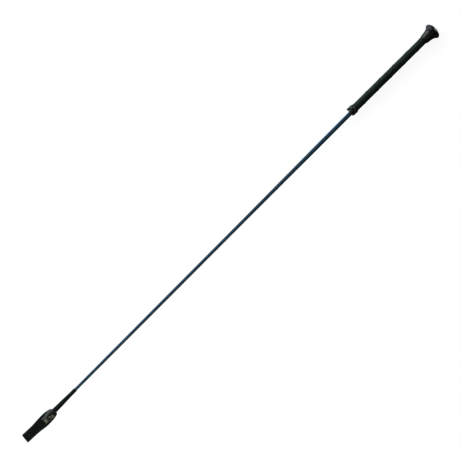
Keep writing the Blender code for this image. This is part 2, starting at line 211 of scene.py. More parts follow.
def sleeve(name, stations, radii, bore, material):
    """Make a tube whose outer radius is given for each ring and angle, with a plain bore."""
    count = radii.shape[1]
    angles = np.arange(count) * TURN / count
    stations = np.concatenate([stations, stations[[-1, 0]]])
    inner = np.broadcast_to(np.array(bore)[::-1, None], (2, count))
    grid = place(stations[:, None], np.vstack([radii, inner]), angles[None, :])
    along = np.append(stations, stations[0]) * MM
    return skin(name, grid, material, np.linspace(0.0, 1.0, count + 1), along, endless=True)


def swept(name, centres, across, outward, section, material, endless=False):
    """Sweep a section of (across, outward) points along a line with its own frames."""
    grid = (centres[:, None, :] + section[None, :, 0:1] * across[:, None, :]
            + section[None, :, 1:2] * outward[:, None, :])
    route = np.vstack([centres, centres[:1]]) if endless else centres
    along = np.concatenate([[0.0], np.cumsum(np.linalg.norm(np.diff(route, axis=0), axis=1))]) * MM
    return skin(name, grid, material, np.linspace(0.0, 1.0, len(section) + 1), along, endless)


def lean(piece, slip=0.0):
    """Turn a piece of the handle about the vertical, as the handle leans a little off the shaft.

    slip moves the piece to the +Y side as well.
    """
    pivot = Vector((ORIGIN - LEAN_STATION * ALONG) * MM)
    shift = Matrix.Translation(Vector(SIDE) * slip * MM)
    turn = Matrix.Rotation(-LEAN, 4, "Z")
    piece.data.transform(shift @ Matrix.Translation(pivot) @ turn @ Matrix.Translation(-pivot))
    return piece


def join(name, pieces):
    """Join several pieces into one object."""
    with bpy.context.temp_override(active_object=pieces[0], selected_editable_objects=pieces):
        bpy.ops.object.join()
    pieces[0].name = name
    return pieces[0]


# Material helpers --------------------------------------------------------------------------

class Shader:
    """A Principled material, with short calls for the nodes that the crop's materials use."""

    def __init__(self, name, **settings):
        self.material = bpy.data.materials.new(name)
        self.material.use_nodes = True
        self.tree = self.material.node_tree
        self.base = self.tree.nodes["Principled BSDF"]
        for socket, value in settings.items():
            self.base.inputs[socket.replace("_", " ")].default_value = value

    def node(self, kind, **values):
        """Add a node; values whose names match its properties or sockets are set."""
        made = self.tree.nodes.new("ShaderNode" + kind)
        for key, value in values.items():
            if hasattr(made, key):
                setattr(made, key, value)
            else:
                made.inputs[key.replace("_", " ")].default_value = value
        return made

    def link(self, source, target):
        """Join two sockets."""
        self.tree.links.new(source, target)

    def lay(self, scale=(1.0, 1.0)):
        """The piece's own UV, scaled."""
        uv = self.node("UVMap", uv_map="Lay")
        mapping = self.node("Mapping")
        mapping.inputs["Scale"].default_value = (*scale, 1.0)
        self.link(uv.outputs["UV"], mapping.inputs["Vector"])
        return mapping.outputs["Vector"]

    def solid(self, scale=1.0):
        """The piece's own coordinates in metres, scaled."""
        texture = self.node("TexCoord")
        mapping = self.node("Mapping")
        mapping.inputs["Scale"].default_value = (scale, scale, scale)
        self.link(texture.outputs["Object"], mapping.inputs["Vector"])
        return mapping.outputs["Vector"]

    def noise(self, vector, scale, detail=3.0, roughness=0.5):
        """Noise between 0 and 1."""
        made = self.node("TexNoise", Scale=scale, Detail=detail, Roughness=roughness)
        self.link(vector, made.inputs["Vector"])
        return made.outputs["Fac"]

    def cells(self, vector, scale, feature="F1"):
        """Distance in a cell pattern."""
        made = self.node("TexVoronoi", feature=feature, Scale=scale)
        self.link(vector, made.inputs["Vector"])
        return made.outputs["Distance"]

    def waves(self, vector, scale, direction="X", distortion=0.0):
        """Parallel bands between 0 and 1."""
        made = self.node("TexWave", bands_direction=direction, Scale=scale, Distortion=distortion)
        self.link(vector, made.inputs["Vector"])
        return made.outputs["Fac"]

    def scaled(self, source, low, high, source_low=0.0, source_high=1.0):
        """Map a value from one range to another."""
        made = self.node("MapRange")
        for socket, value in (("From Min", source_low), ("From Max", source_high),
                              ("To Min", low), ("To Max", high)):
            made.inputs[socket].default_value = value
        self.link(source, made.inputs["Value"])
        return made.outputs["Result"]

    def mixed(self, share, first, second):
        """Mix two colours."""
        made = self.node("Mix", data_type="RGBA")
        made.inputs["A"].default_value = (*first, 1.0)
        made.inputs["B"].default_value = (*second, 1.0)
        self.link(share, made.inputs["Factor"])
        return made.outputs["Result"]

    def add(self, first, second, operation="ADD"):
        """Combine two values."""
        made = self.node("Math", operation=operation)
        self.link(first, made.inputs[0])
        if isinstance(second, (int, float)):
            made.inputs[1].default_value = second
        else:
            self.link(second, made.inputs[1])
        return made.outputs["Value"]

    def split(self, vector):
        """The first two parts of a vector."""
        made = self.node("SeparateXYZ")
        self.link(vector, made.inputs["Vector"])
        return made.outputs["X"], made.outputs["Y"]

    def chosen(self, share, first, second):
        """The first value where share is 1 and the second where it is 0."""
        made = self.node("Mix", data_type="FLOAT")
        self.link(second, made.inputs["A"])
        self.link(first, made.inputs["B"])
        self.link(share, made.inputs["Factor"])
        return made.outputs["Result"]

    def crown(self, value):
        """A rounded ridge over each whole step of a value, 0 at its edges and 1 along its middle."""
        part = self.scaled(self.add(value, 0.0, "FRACT"), -1.0, 1.0)
        return self.add(self.scaled(self.add(part, part, "MULTIPLY"), 1.0, 0.0), 0.5, "POWER")

    def colour(self, source):
        """Use a colour."""
        self.link(source, self.base.inputs["Base Color"])

    def rough(self, source, low, high):
        """Use a value as roughness, between two limits."""
        self.link(self.scaled(source, low, high), self.base.inputs["Roughness"])

    def bump(self, height, distance, strength=1.0):
        """Raise the surface by height times distance, in metres."""
        made = self.node("Bump", Strength=strength, Distance=distance)
        self.link(height, made.inputs["Height"])
        previous = self.base.inputs["Normal"].links
        if previous:
            self.link(previous[0].from_socket, made.inputs["Normal"])
        self.link(made.outputs["Normal"], self.base.inputs["Normal"])


def gloss_black():
    """Moulded black cap: glossy, with a faint ripple and handling marks."""
    shader = Shader("gloss_black", Coat_Weight=0.6, Coat_Roughness=0.12, Specular_IOR_Level=0.6)
    place_3d = shader.solid()
    marks = shader.noise(place_3d, 900.0, 5.0, 0.65)
    clouds = shader.noise(place_3d, 120.0)
    shader.colour(shader.mixed(clouds, (0.007, 0.011, 0.010), (0.011, 0.016, 0.014)))
    shader.rough(marks, 0.20, 0.34)
    shader.bump(clouds, 0.00008)
    shader.bump(marks, 0.000006)
    return shader.material


def grip_leather():
    """Leather wrap: fine pebbled grain, satin, its roughness varying a little from place to place."""
    shader = Shader("grip_leather", Specular_IOR_Level=0.36)
    place_3d = shader.solid()
    grain = shader.cells(place_3d, 1500.0)
    pores = shader.noise(place_3d, 2600.0, 4.0, 0.6)
    clouds = shader.noise(place_3d, 90.0, 3.0)
    shader.colour(shader.mixed(clouds, (0.014, 0.026, 0.021), (0.024, 0.038, 0.032)))
    shader.rough(shader.noise(place_3d, 300.0, 4.0), 0.36, 0.56)
    shader.bump(grain, 0.00006, 0.8)
    shader.bump(pores, 0.00003, 0.6)
    return shader.material


def lace_leather():
    """Polished lace of the knot."""
    shader = Shader("lace_leather", Specular_IOR_Level=0.6, Coat_Weight=0.4, Coat_Roughness=0.2)
    place_3d = shader.solid()
    grain = shader.cells(place_3d, 2400.0)
    clouds = shader.noise(place_3d, 260.0, 4.0)
    shader.colour(shader.mixed(clouds, (0.020, 0.026, 0.023), (0.044, 0.050, 0.041)))
    shader.rough(clouds, 0.24, 0.42)
    shader.bump(grain, 0.00004, 0.6)
    return shader.material


def navy_braid():
    """Navy thread braid under a thin lacquer: plaited strands of five threads, with fine fibres, and
    painted shade between them.
    """
    shader = Shader("navy_braid", Specular_IOR_Level=0.68, Specular_Tint=(0.45, 0.70, 1.0, 1.0),
                    Coat_Weight=0.12, Coat_Roughness=0.2)
    turn, metres = shader.split(shader.lay((BRAID_STRANDS, BRAID_STRANDS / (BRAID_LEAD * MM))))
    first, second = shader.add(turn, metres), shader.add(turn, metres, "SUBTRACT")
    cell = shader.add(shader.add(first, 0.0, "FLOOR"), shader.add(second, 0.0, "FLOOR"))
    over = shader.add(shader.add(cell, 2.0, "FLOORED_MODULO"), 0.5, "LESS_THAN")
    across = shader.chosen(over, first, second)
    strand = shader.crown(across)
    threads = shader.crown(shader.add(across, 5.0, "MULTIPLY"))
    place_3d = shader.solid()
    clouds = shader.noise(place_3d, 140.0, 4.0)
    fuzz = shader.noise(place_3d, 2400.0, 4.0)
    # Colour: painted shade in the gaps between strands and between threads, a painted sheen along their
    # crowns, and a random tone from the clouds
    share = shader.add(shader.scaled(clouds, 0.0, 0.4), shader.add(shader.scaled(strand, 0.0, 0.4),
                                                                  shader.scaled(threads, 0.0, 0.3)))
    shader.colour(shader.mixed(share, (0.008, 0.022, 0.036), (0.040, 0.080, 0.114)))
    shader.rough(fuzz, 0.42, 0.60)
    shader.bump(threads, 0.00004, 0.7)
    shader.bump(fuzz, 0.00002, 0.5)
    return shader.material


def black_thread():
    """Waxed black thread."""
    shader = Shader("black_thread", Specular_IOR_Level=0.18)
    place_3d = shader.solid()
    fibres = shader.waves(shader.lay((60.0, 900.0)), 4.0, "DIAGONAL", 1.0)
    clouds = shader.noise(place_3d, 220.0, 4.0)
    shader.colour(shader.mixed(clouds, (0.014, 0.023, 0.024), (0.024, 0.036, 0.037)))
    shader.rough(fibres, 0.50, 0.70)
    shader.bump(fibres, 0.00003, 0.6)
    return shader.material


def keeper_leather():
    """Smooth dressed leather of the keeper, its grain laid on the leaf so that it bends with it."""
    shader = Shader("keeper_leather", Specular_IOR_Level=0.78)
    leaf = shader.lay()
    grain = shader.cells(leaf, 1900.0)
    creases = shader.noise(leaf, 700.0, 5.0, 0.6)
    clouds = shader.noise(leaf, 110.0, 4.0)
    shader.colour(shader.mixed(clouds, (0.0042, 0.0098, 0.0088), (0.0085, 0.0155, 0.0145)))
    shader.rough(shader.noise(leaf, 260.0, 4.0), 0.24, 0.40)
    shader.bump(grain, 0.00004, 0.7)
    shader.bump(creases, 0.00005, 0.6)
    return shader.material


def edge_paint():
    """Paint on the keeper's cut edges: smooth, a little thicker here and there."""
    shader = Shader("edge_paint", Specular_IOR_Level=0.5)
    leaf = shader.lay()
    runs = shader.noise(leaf, 500.0, 3.0)
    shader.colour(shader.mixed(runs, (0.007, 0.010, 0.010), (0.013, 0.017, 0.016)))
    shader.rough(runs, 0.34, 0.52)
    shader.bump(runs, 0.00005, 0.6)
    return shader.material


def plain(name, first, second, scale, low, high, height=0.00003, **settings):
    """Material of a hidden piece: two tones, varied roughness and a fine surface."""
    shader = Shader(name, **settings)
    mottle = shader.noise(shader.solid(), scale, 4.0)
    shader.colour(shader.mixed(mottle, first, second))
    shader.rough(mottle, low, high)
    shader.bump(mottle, height)
    return shader.material


# Pieces ------------------------------------------------------------------------------------

def make_cap(material):
    """The flared cap: domed end with the disc's seat, rounded rim, trumpet flare and beaded mouth."""
    seat_radius = DISC[2] + CLEARANCE
    seat_depth = DISC[1] + CLEARANCE
    outline = []
    for angle in np.linspace(math.asin(seat_radius / CAP[2]), math.radians(80.0), 22):
        depth = RIM_STATION * (1.0 - math.cos(angle)) ** DOME_FULLNESS
        outline.append((CAP[2] * math.sin(angle), depth))
    for degrees in range(-70, 61, 10):
        angle = math.radians(degrees)
        outline.append((CAP[2] - RIM_ROUND * (1.0 - math.cos(angle)),
                        RIM_STATION + RIM_ROUND * math.sin(angle)))
    mouth = CAP[1]
    for share in np.linspace(0.0, 1.0, 34) ** 1.3:
        station = FLARE_START + (mouth - MOUTH_LENGTH - FLARE_START) * share
        past = station - FLARE_START
        outline.append((6.25 + 3.6 * math.exp(-past / 13.0) + 2.6 * math.exp(-past / 2.6), station))
    bead = 0.5 * MOUTH_LENGTH
    for angle in np.radians(np.arange(-80.0, 81.0, 20.0)):
        outline.append((6.75 + 0.4 * math.cos(angle), mouth - bead + bead * math.sin(angle)))
    socket = WRAP[2] + 0.5
    shelf = WRAP[0] - CLEARANCE
    tube = TUBE[2] + CLEARANCE
    floor = TUBE[0] - CLEARANCE
    head_seat = seat_depth + NAIL_HEAD_DEPTH
    outline += [(socket, mouth), (socket, shelf), (tube, shelf), (tube, floor), (NAIL_BORE, floor),
                (NAIL_BORE, head_seat), (NAIL_HEAD_BORE, head_seat), (NAIL_HEAD_BORE, seat_depth),
                (seat_radius, seat_depth)]
    cap = lean(turned("cap", outline, 144, material))
    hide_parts("cap_body")
    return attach(cap, RIGID)


def make_disc(material):
    """The disc in the cap's end: a flat face with a turned edge."""
    outline = [(0.01, 0.0), (DISC[2] - 1.5, 0.0)]
    for degrees in range(0, 91, 15):
        angle = math.radians(degrees)
        outline.append((DISC[2] - 0.5 + 0.5 * math.sin(angle), 0.5 - 0.5 * math.cos(angle)))
    outline += [(DISC[2], DISC[1]), (0.01, DISC[1])]
    disc = lean(turned("end_disc", outline, 96, material))
    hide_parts("cap_end_disc")
    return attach(disc, RIGID)


def make_grip(material):
    """The leather wrap: a strip wound in a spiral, its overlapping edge standing up as a soft ridge."""
    count = 96
    stations = np.arange(WRAP[0], WRAP[1], 0.42)
    angles = np.arange(count) * TURN / count
    seam = WRAP_SEAM_STATION + WRAP_PITCH * angles[None, :] / TURN
    off = (stations[:, None] - seam + 0.5 * WRAP_PITCH) % WRAP_PITCH - 0.5 * WRAP_PITCH
    ridge = 0.34 * np.exp(-(off / 1.1) ** 2)
    groove = -0.30 * np.exp(-((off + 1.7) / 0.45) ** 2)
    lay = 0.10 * smooth(1.0 - np.abs(off) / 9.0) * (off > 0.0)
    ripple = 0.03 * np.sin(stations[:, None] * 0.9 + 3.0 * np.sin(angles[None, :]))
    ends = smooth((stations - WRAP[0]) / 1.0) * smooth((WRAP[1] - stations) / 1.2)
    radii = WRAP[2] + 0.1 + (ridge + groove + lay + ripple) - 0.45 * (1.0 - ends[:, None])
    grip = lean(sleeve("grip_spiral_wrap", stations, radii, (4.6, 4.6), material))
    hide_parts("grip_wrap")
    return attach(grip, RIGID)


def wound_thread(name, stations, radii, thread, bore, count, material, node, fade=0.3):
    """Thread wound in a close helix over a profile, every turn standing proud."""
    angles = np.arange(count) * TURN / count
    share = ((stations[:, None] / thread - angles[None, :] / TURN) % 1.0) * 2.0 - 1.0
    relief = thread * 0.5 * (np.sqrt(np.clip(1.0 - share ** 2, 0.0, 1.0)) - 1.0)
    ends = smooth((stations - stations[0]) / fade) * smooth((stations[-1] - stations) / fade)
    outer = radii[:, None] + relief - 0.5 * thread * (1.0 - ends[:, None])
    piece = sleeve(name, stations, outer, bore, material)
    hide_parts(node)
    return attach(piece, RIGID)


def make_binding(material):
    """The thread ring at the cap's mouth."""
    stations = np.arange(BINDING[0], BINDING[1] + 0.01, 0.05)
    radii = np.full(len(stations), BINDING[2] - 0.3)
    return lean(wound_thread("top_binding", stations, radii, 0.6, (WRAP[2] + 0.2,) * 2, 96, material,
                             "grip_top_binding"))


def make_whipping(material):
    """The thread that binds the keeper's tails to the shaft."""
    stations = np.arange(WHIPPING[0] - 0.8, WHIPPING[1], THREAD / 6.0)
    radii = read_table(WHIPPING_RADII, stations) + 0.22
    bore = (read_table(WHIPPING_RADII, stations[[0, -1]]) - 0.45).tolist()
    return wound_thread("whipping", stations, radii, THREAD, bore, 64, material, "keeper_whipping")


def knot_line(turn):
    """The lace's centre line: round the shaft from edge to edge, over one strand and under the next."""
    phase = turn * KNOT_BIGHTS / KNOT_LEADS
    radius = 6.35 + 0.58 * (np.sin(2.0 * phase) - 0.35 * np.sin(4.0 * phase))
    middle = 0.5 * (KNOT[0] + KNOT[1]) - 1.0
    return place(middle + 4.3 * np.cos(phase), radius, turn)


def unit(vectors):
    """Vectors of length 1."""
    return vectors / np.linalg.norm(vectors, axis=-1, keepdims=True)


def make_knot(material):
    """The Turk's head, plaited from one endless flat lace with a domed face."""
    count = KNOT_LEADS * KNOT_BIGHTS * 24
    turn = np.arange(count) * TURN * KNOT_LEADS / count
    centres = knot_line(turn)
    along = unit(knot_line(turn + 0.01) - knot_line(turn - 0.01))
    radial = np.cos(turn)[:, None] * DOWN + np.sin(turn)[:, None] * SIDE
    across = unit(np.cross(along, radial))
    outward = np.cross(across, along)
    around = np.arange(20) * TURN / 20
    cosine, sine = np.cos(around), np.sin(around)
    width = 1.55 * np.sign(cosine) * np.abs(cosine) ** 0.8
    height = np.where(sine > 0.0, 0.62, 0.42) * np.sign(sine) * np.abs(sine) ** 0.9
    section = np.stack([width, height], axis=-1)
    knot = lean(swept("lace_knot", centres, across, outward, section, material, endless=True), KNOT_SLIP)
    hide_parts("turks_head_knot")
    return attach(knot, RIGID)


def make_foundation(material):
    """The bed of wound tape that the knot is drawn down on, dark between its laces."""
    stations = np.linspace(FOUNDATION[0] - 0.5, FOUNDATION[1] - 0.6, 40)
    share = (stations - stations[0]) / (stations[-1] - stations[0])
    radii = 4.5 + 1.1 * (1.0 - (2.0 * share - 1.0) ** 12) + 0.05 * np.cos(6.0 * stations)
    outer = np.broadcast_to(radii[:, None], (len(stations), 48))
    bed = lean(sleeve("knot_bed", stations, outer, (4.3, 4.3), material), KNOT_SLIP)
    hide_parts("knot_foundation")
    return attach(bed, RIGID)


def make_braid(material):
    """The shaft's cover: strands plaited over and under each other in both directions."""
    cell = BRAID_LEAD / BRAID_STRANDS
    share = 6
    step = cell / share
    shown = math.floor((KNOT[0] - 4.0) / step) * step, math.ceil((WHIPPING[0] + 3.0) / step) * step
    stations = np.concatenate([np.linspace(BRAID[0], shown[0], 12)[:-1],
                               np.arange(shown[0], shown[1], step),
                               np.linspace(shown[1], BRAID[1], 8)])
    angles = np.arange(share * BRAID_STRANDS)[None, :] / share
    climb = stations[:, None] / cell
    first, second = angles + climb + 1e-6, angles - climb + 1e-6
    over = (np.floor(first) + np.floor(second)) % 2 < 0.5
    across = np.where(over, first, second) % 1.0
    length = np.where(over, second, first) % 1.0
    crown = np.sqrt(np.clip(1.0 - (2.0 * across - 1.0) ** 2, 0.0, 1.0))
    relief = crown * (0.55 + 0.45 * np.sin(math.pi * length))
    depth = 0.16 * (smooth((stations - shown[0]) / 3.0) * smooth((shown[1] - stations) / 2.0))[:, None]
    radii = read_table(BRAID_RADII, stations)[:, None] + depth * relief
    bore = (read_table(BRAID_RADII, stations[[0, -1]]) - 0.45).tolist()
    braid = sleeve("braided_cover", stations, radii, bore, material)
    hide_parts("shaft_braid")
    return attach(braid, RIGID)


# Keeper ------------------------------------------------------------------------------------

THROAT_STATION = 836.6
THROAT_WIDTH = 7.4
WIDEST_STATION = 855.5
WIDEST_WIDTH = 17.9
TONGUE_WIDTH = 14.6
TAPER_END_STATION = 882.0
TAIL_START = 815.0
ROOF_START = 844.0
SHOULDER_LEAD = 2.6
POCKET_END = 858.7
POCKET_FOOT = 861.5
RIDGE_OFFSET = 1.6
RIDGE_SOFTNESS = 0.09
POCKET_HALF = 5.6
END_CORNER = 1.2
END_CUT = math.tan(math.radians(6.0))
TONGUE_VEER = math.tan(math.radians(2.2))
EDGE_ROUND = 0.45
STITCH_INSET = 1.35
STITCH_LENGTH = 2.3
STITCH_GAP = 0.45
STITCH_RADIUS = 0.24
HINGE_STATION = CAP_X - HINGE[0]
MEETING = 0.5 * LEAF_TOP
EDGE_STEPS = (0.0, 0.03, 0.09, 0.18, 0.30, 0.45, 0.75, 1.0, 1.15, 1.3, 1.45, 1.6,
              1.8, 2.1, 2.4, 2.7, 3.0)
END_STEPS = EDGE_STEPS[:12]


def axis_height(stations):
    """Height of the crop's axis above the table."""
    return ORIGIN[2] - stations * ALONG[2]


def side_width(stations):
    """Width of one side: tail round the shaft, a round shoulder, a taper and a straight tongue."""
    tail = 0.5 * THROAT_WIDTH - 0.5 * smooth((THROAT_STATION + 0.3 - stations) / 1.2)
    tail = tail - 0.6 * smooth((834.0 - stations) / 16.0)
    back = np.clip((WIDEST_STATION - stations) / (WIDEST_STATION - THROAT_STATION), 0.0, 1.0)
    shoulder = 0.5 * (WIDEST_WIDTH - THROAT_WIDTH) * np.sqrt(1.0 - back ** 2)
    on = np.clip((stations - WIDEST_STATION) / (TAPER_END_STATION - WIDEST_STATION), 0.0, 1.0)
    taper = 0.25 * (WIDEST_WIDTH - TONGUE_WIDTH) * (1.0 - np.cos(math.pi * on))
    into_corner = np.clip(stations - (KEEPER_END - END_CORNER), 0.0, END_CORNER)
    corner = END_CORNER - np.sqrt(END_CORNER ** 2 - into_corner ** 2)
    return tail + shoulder - taper - corner


def keeper_sides(stations):
    """Width on the +Y side and on the -Y side, whose shoulder starts a little nearer the shaft."""
    lead = SHOULDER_LEAD * smooth((WIDEST_STATION - stations) / 12.0) * smooth((stations - 834.0) / 3.0)
    return side_width(stations), side_width(stations + lead)


def keeper_half_width(stations):
    """Half the keeper's whole width."""
    return 0.5 * sum(keeper_sides(stations))


def leaf_shape(stations, across, half, side):
    """Outer height of a leaf, in front where side is +1 and at the back where it is -1."""
    flat = smooth((stations - THROAT_STATION + 1.0) / (ROOF_START - THROAT_STATION))
    meeting = axis_height(stations) * (1.0 - flat) + MEETING * flat
    thickness = 0.35 + (MEETING - 0.35) * flat
    radius = np.minimum(half, 0.5 * THROAT_WIDTH) * (1.0 - flat)
    narrowing = np.clip((stations - 843.0) / 11.0, 0.0, 1.0)
    if side > 0.0:
        top = axis_height(stations) + radius + (3.1 + 0.7 * smooth((stations - ROOF_START) / 7.0)) * flat
        end = smooth((POCKET_FOOT - stations) / (POCKET_FOOT - POCKET_END))
        lift = 1.0 - 0.16 * narrowing
        middle = meeting + thickness + lift * (top - meeting - thickness) * end
        offset = RIDGE_OFFSET * flat
    else:
        middle = (axis_height(stations) - radius) * (1.0 - flat)
        offset = 0.0
    margin = (half - POCKET_HALF) * narrowing + 0.3
    reach = np.where(across > offset, half - margin - offset, half - margin + offset)
    share = np.abs(across - offset) / np.maximum(reach, 0.5)
    softness = RIDGE_SOFTNESS + 0.6 * smooth((854.0 - stations) / 12.0)
    foot = np.hypot(1.0, softness)
    roof = (foot - np.hypot(share, softness)) / (foot - softness)
    roof = 0.5 * (roof + np.sqrt(roof ** 2 + 0.05 ** 2))
    tube = np.sqrt(np.clip(1.0 - share ** 2, 0.0, 1.0))
    rise = tube * (1.0 - flat) + roof * flat
    edge = meeting + side * thickness
    return edge + (middle - edge) * rise, meeting


def leaf_place(stations, across):
    """World x and y of a point of the keeper, whose tongue veers to one side and ends askew."""
    near, far = keeper_sides(stations)
    centre = TONGUE_VEER * np.maximum(stations - HINGE_STATION, 0.0) + 0.5 * (near - far)
    skew = END_CUT * smooth((stations - TAPER_END_STATION) / (KEEPER_END - TAPER_END_STATION))
    return CAP_X - stations + skew * (across + 0.5 * TONGUE_WIDTH), across + centre


def edge_fall(distance):
    """How far a leaf's face falls at a distance from its cut edge, which is dressed round."""
    left = np.clip(1.0 - distance / EDGE_ROUND, 0.0, 1.0)
    return EDGE_ROUND * (1.0 - np.sqrt(1.0 - left ** 2))


def make_leaf(name, side, leather, edging, nodes):
    """One leather leaf of the keeper, from its tail under the whipping to the end of the tongue."""
    ends = [KEEPER_END - step for step in END_STEPS[::-1]]
    stations = np.concatenate([np.arange(TAIL_START, THROAT_STATION - 1.5, 2.0),
                               np.arange(THROAT_STATION - 1.5, POCKET_END, 0.3),
                               np.arange(POCKET_END, POCKET_FOOT + 0.5, 0.15),
                               np.arange(POCKET_FOOT + 0.5, ends[0] - 0.3, 0.6), ends])[:, None]
    half = keeper_half_width(stations)
    steps = np.array(EDGE_STEPS) * np.minimum(half / (0.5 * THROAT_WIDTH), 1.0)
    inner_half = half - steps[:, -1:]
    middle = np.linspace(-1.0, 1.0, 45)[1:-1] * inner_half
    across = np.hstack([steps - half, middle, (half - steps)[:, ::-1]])
    distance = np.minimum(half - np.abs(across), np.maximum(KEEPER_END - stations, 0.0))
    height, meeting = leaf_shape(stations, across, half, side)
    groove = 0.16 * np.exp(-((distance - STITCH_INSET) / 0.28) ** 2) * smooth((stations - 843.0) / 4.0)
    height = height - side * (edge_fall(distance) + groove)
    seam = 0.02 + 0.35 * edge_fall(distance)
    thickness = 1.8 * smooth((stations - THROAT_STATION + 2.0) / 6.0) + 0.3
    inner = side * np.maximum(side * (height - meeting) - thickness, 0.0) + meeting + side * seam
    x, y = leaf_place(stations, across)
    outer_points = np.stack([x, y, height], axis=-1)
    inner_points = np.stack([x, y, inner], axis=-1)[:, ::-1]
    grid = np.concatenate([outer_points, inner_points], axis=1)
    loop = np.concatenate([grid, grid[:, :1]], axis=1)
    lengths = np.linalg.norm(np.diff(loop[..., 1:], axis=1), axis=-1)
    round_section = np.hstack([np.zeros((len(grid), 1)), np.cumsum(lengths, axis=1)])
    round_section -= round_section[:, across.shape[1] // 2][:, None]
    leaf = skin(name, grid, leather, round_section * MM, stations[:, 0] * MM)
    leaf.data.materials.append(edging)
    painted = np.zeros((len(stations) - 1, grid.shape[1]), dtype=int)
    shown = stations[:-1, 0] > THROAT_STATION + 1.0
    outer_count = across.shape[1]
    rim = EDGE_STEPS.index(EDGE_ROUND)
    for columns in (np.s_[:rim], np.s_[outer_count - rim - 1:outer_count + rim], np.s_[-rim - 1:]):
        painted[shown, columns] = 1
    painted[stations[:-1, 0] > KEEPER_END - EDGE_ROUND - 0.01] = 1
    leaf.data.polygons.foreach_set("material_index", np.append(painted.ravel(), (0, 1)))
    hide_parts(*nodes)
    return bend(leaf)


def bend(piece):
    """Bake a keeper piece's place into its mesh, leaving its shape as it is."""
    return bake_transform(piece)


def stitch_route():
    """Stations and places across of the seam: down one side, across the end and back up the other."""
    down = np.arange(846.0, KEEPER_END - 2.6, 0.2)
    side = keeper_half_width(down) - STITCH_INSET
    corner = np.radians(np.arange(6.0, 90.0, 12.0))
    bend_radius = 1.3
    last = KEEPER_END - STITCH_INSET - bend_radius
    stations = np.concatenate([down, last + bend_radius * np.sin(corner)])
    across = np.concatenate([side, side[-1] - bend_radius * (1.0 - np.cos(corner))])
    end_row = np.arange(0.0, 2.0 * across[-1] - 0.1, 0.2)[1:]
    return (np.concatenate([stations, np.full(len(end_row), stations[-1]), stations[::-1]]),
            np.concatenate([across, across[-1] - end_row, -across[::-1]]))


def make_stitches(name, side, proud, material):
    """A row of stitches in the groove along the keeper's edge, each sunk at its ends."""
    stations, across = stitch_route()
    x, y = leaf_place(stations, across)
    heights, _ = leaf_shape(stations, across, keeper_half_width(stations), side)
    route = np.stack([x, y, heights], axis=-1)
    lengths = np.concatenate([[0.0], np.cumsum(np.linalg.norm(np.diff(route, axis=0), axis=1))])
    pitch = STITCH_LENGTH + STITCH_GAP
    number = int((lengths[-1] - STITCH_GAP) / pitch)
    start = 0.5 * (lengths[-1] - number * pitch + STITCH_GAP)
    share = np.linspace(-1.0, 1.0, 15)
    around = np.arange(10) * TURN / 10
    section = np.stack([np.cos(around), np.sin(around)], axis=-1) * STITCH_RADIUS
    up = np.broadcast_to(np.array((0.0, 0.0, side)), (len(share), 3))
    stitches = []
    for k in range(number):
        drift = 0.12 * math.sin(5.1 * k) + 0.08 * math.sin(2.3 * k)
        at = start + drift + k * pitch + 0.5 * STITCH_LENGTH * (1.0 + share)
        centres = np.stack([np.interp(at, lengths, route[:, i]) for i in range(3)], axis=-1)
        along = unit(np.gradient(centres, axis=0))
        raised = proud + 0.05 * math.sin(3.7 * k)
        centres = centres + up * (raised - 0.55 * np.abs(share)[:, None] ** 4)
        stitches.append(swept(name, centres, unit(np.cross(along, up)), up, section, material))
    return join(name, stitches)


def make_keeper(leather, edging, thread):
    """The keeper: two leaves, sewn together near their cut edges."""
    make_leaf("keeper_front", 1.0, leather, edging, ("keeper_front_root", "keeper_front_leaf"))
    make_leaf("keeper_back", -1.0, leather, edging, ("keeper_back_root", "keeper_back_leaf"))
    front = make_stitches("keeper_stitches_front", 1.0, 0.12, thread)
    back = make_stitches("keeper_stitches_back", -1.0, -0.26, thread)
    seam = join("keeper_stitches", [front, back])
    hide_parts("keeper_seam_thread")
    return bend(seam)


# Stage -------------------------------------------------------------------------------------

VIEW_TURN = math.radians(-45.13)
VIEW_CENTRE = (0.0046, 0.0047)
VIEW_WIDTH = 0.7133
LENS = 400.0
SENSOR = 36.0
WORLD_DIM = 0.08
WORLD_SIDE = 1.1
WORLD_SIDE_START = 0.12
WORLD_SIDE_FULL = 0.65
WORLD_END = 1.9
FLOOR_REACH = 7.0
GAMMA = 0.65


def make_camera():
    """Look straight down on the crop, which runs from the top right to the bottom left."""
    camera = bpy.data.cameras.new("view")
    camera.lens = LENS
    camera.sensor_width = SENSOR
    camera.clip_end = 50.0
    holder = bpy.data.objects.new("view", camera)
    holder.location = (*VIEW_CENTRE, VIEW_WIDTH * LENS / SENSOR)
    holder.rotation_euler = (0.0, 0.0, VIEW_TURN)
    bpy.context.scene.collection.objects.link(holder)
    bpy.context.scene.camera = holder


def make_floor():
    """A wide pale floor at the height of the table, lit softly from behind as a light table is."""
    shader = Shader("pale_floor", Specular_IOR_Level=0.1, Emission_Strength=0.905,
                    Emission_Color=(1.0, 1.0, 1.0, 1.0))
    tone = shader.noise(shader.solid(), 3.0)
    shader.colour(shader.mixed(tone, (0.11, 0.11, 0.11), (0.12, 0.12, 0.12)))
    shader.rough(tone, 0.85, 0.95)
    mesh = bpy.data.meshes.new("floor")
    corners = [(x * FLOOR_REACH, y * FLOOR_REACH, 0.0) for x, y in ((-1, -1), (1, -1), (1, 1), (-1, 1))]
    mesh.from_pydata(corners, [], [(0, 1, 2, 3)])
    mesh.materials.append(shader.material)
    floor = bpy.data.objects.new("floor", mesh)
    bpy.context.scene.collection.objects.link(floor)
    floor.visible_glossy = False


